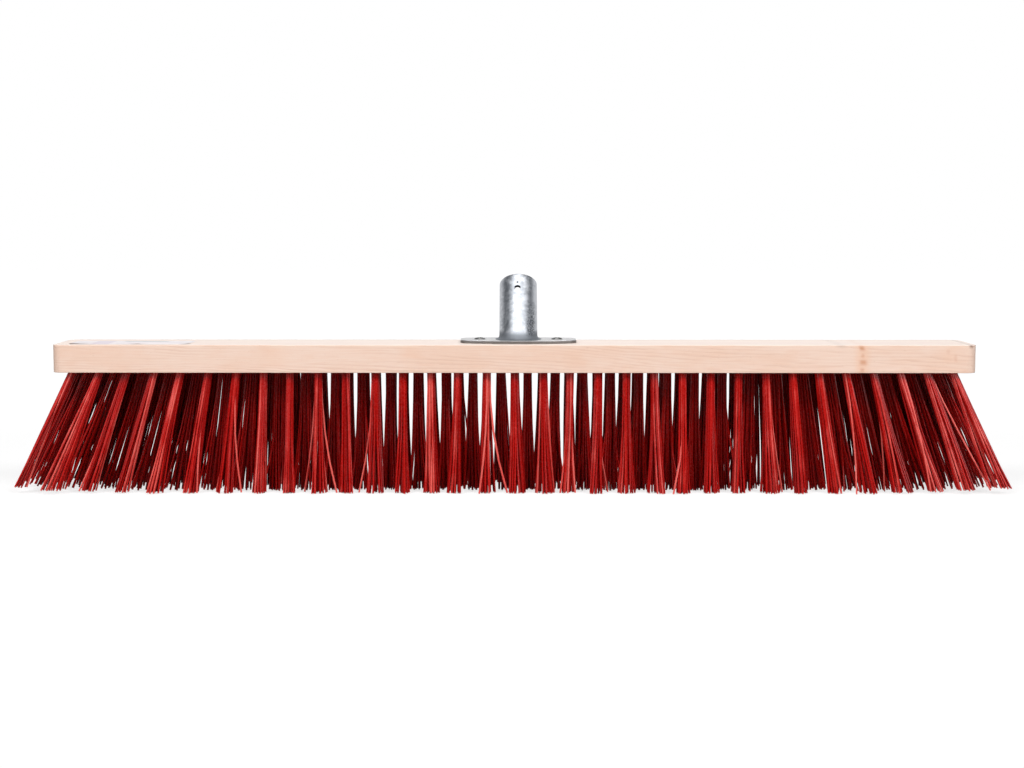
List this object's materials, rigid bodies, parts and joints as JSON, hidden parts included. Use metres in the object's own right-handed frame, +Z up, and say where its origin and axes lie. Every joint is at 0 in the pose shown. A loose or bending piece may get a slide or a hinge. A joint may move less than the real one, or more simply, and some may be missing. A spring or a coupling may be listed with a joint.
{
  "type": "push broom head",
  "caption": "Wide push broom head: beech block with staggered rows of fanned red plastic bristle tufts and a slanted galvanised handle socket on a screwed flange.",
  "frame": {"origin": "middle of the bounding box in plan, on the floor that the bristle tips stand on", "axes": "+X along the block, +Z up, +Y towards the side that the handle leans to"},
  "size_m": [0.872, 0.1007, 0.1887],
  "materials": {
    "beech": "planed and sanded, unvarnished",
    "red_bristle": "smooth extruded filament",
    "galvanised_steel": "galvanised, satin with fine spangle",
    "zinc_screw": "zinc plated"
  },
  "bodies": {
    "root": {"wood_block": "beech", "socket_tube": "galvanised_steel", "socket_flange": "galvanised_steel", "screw_left": "zinc_screw", "screw_right": "zinc_screw", "tufts_row_1_far_left": "red_bristle", "tufts_row_1_left": "red_bristle", "tufts_row_1_middle": "red_bristle", "tufts_row_1_right": "red_bristle", "tufts_row_1_far_right": "red_bristle", "tufts_row_2_far_left": "red_bristle", "tufts_row_2_left": "red_bristle", "tufts_row_2_middle": "red_bristle", "tufts_row_2_right": "red_bristle", "tufts_row_2_far_right": "red_bristle", "tufts_row_3_far_left": "red_bristle", "tufts_row_3_left": "red_bristle", "tufts_row_3_middle": "red_bristle", "tufts_row_3_right": "red_bristle", "tufts_row_3_far_right": "red_bristle", "tufts_row_4_far_left": "red_bristle", "tufts_row_4_left": "red_bristle", "tufts_row_4_middle": "red_bristle", "tufts_row_4_right": "red_bristle", "tufts_row_4_far_right": "red_bristle"}
  },
  "joints": []
}
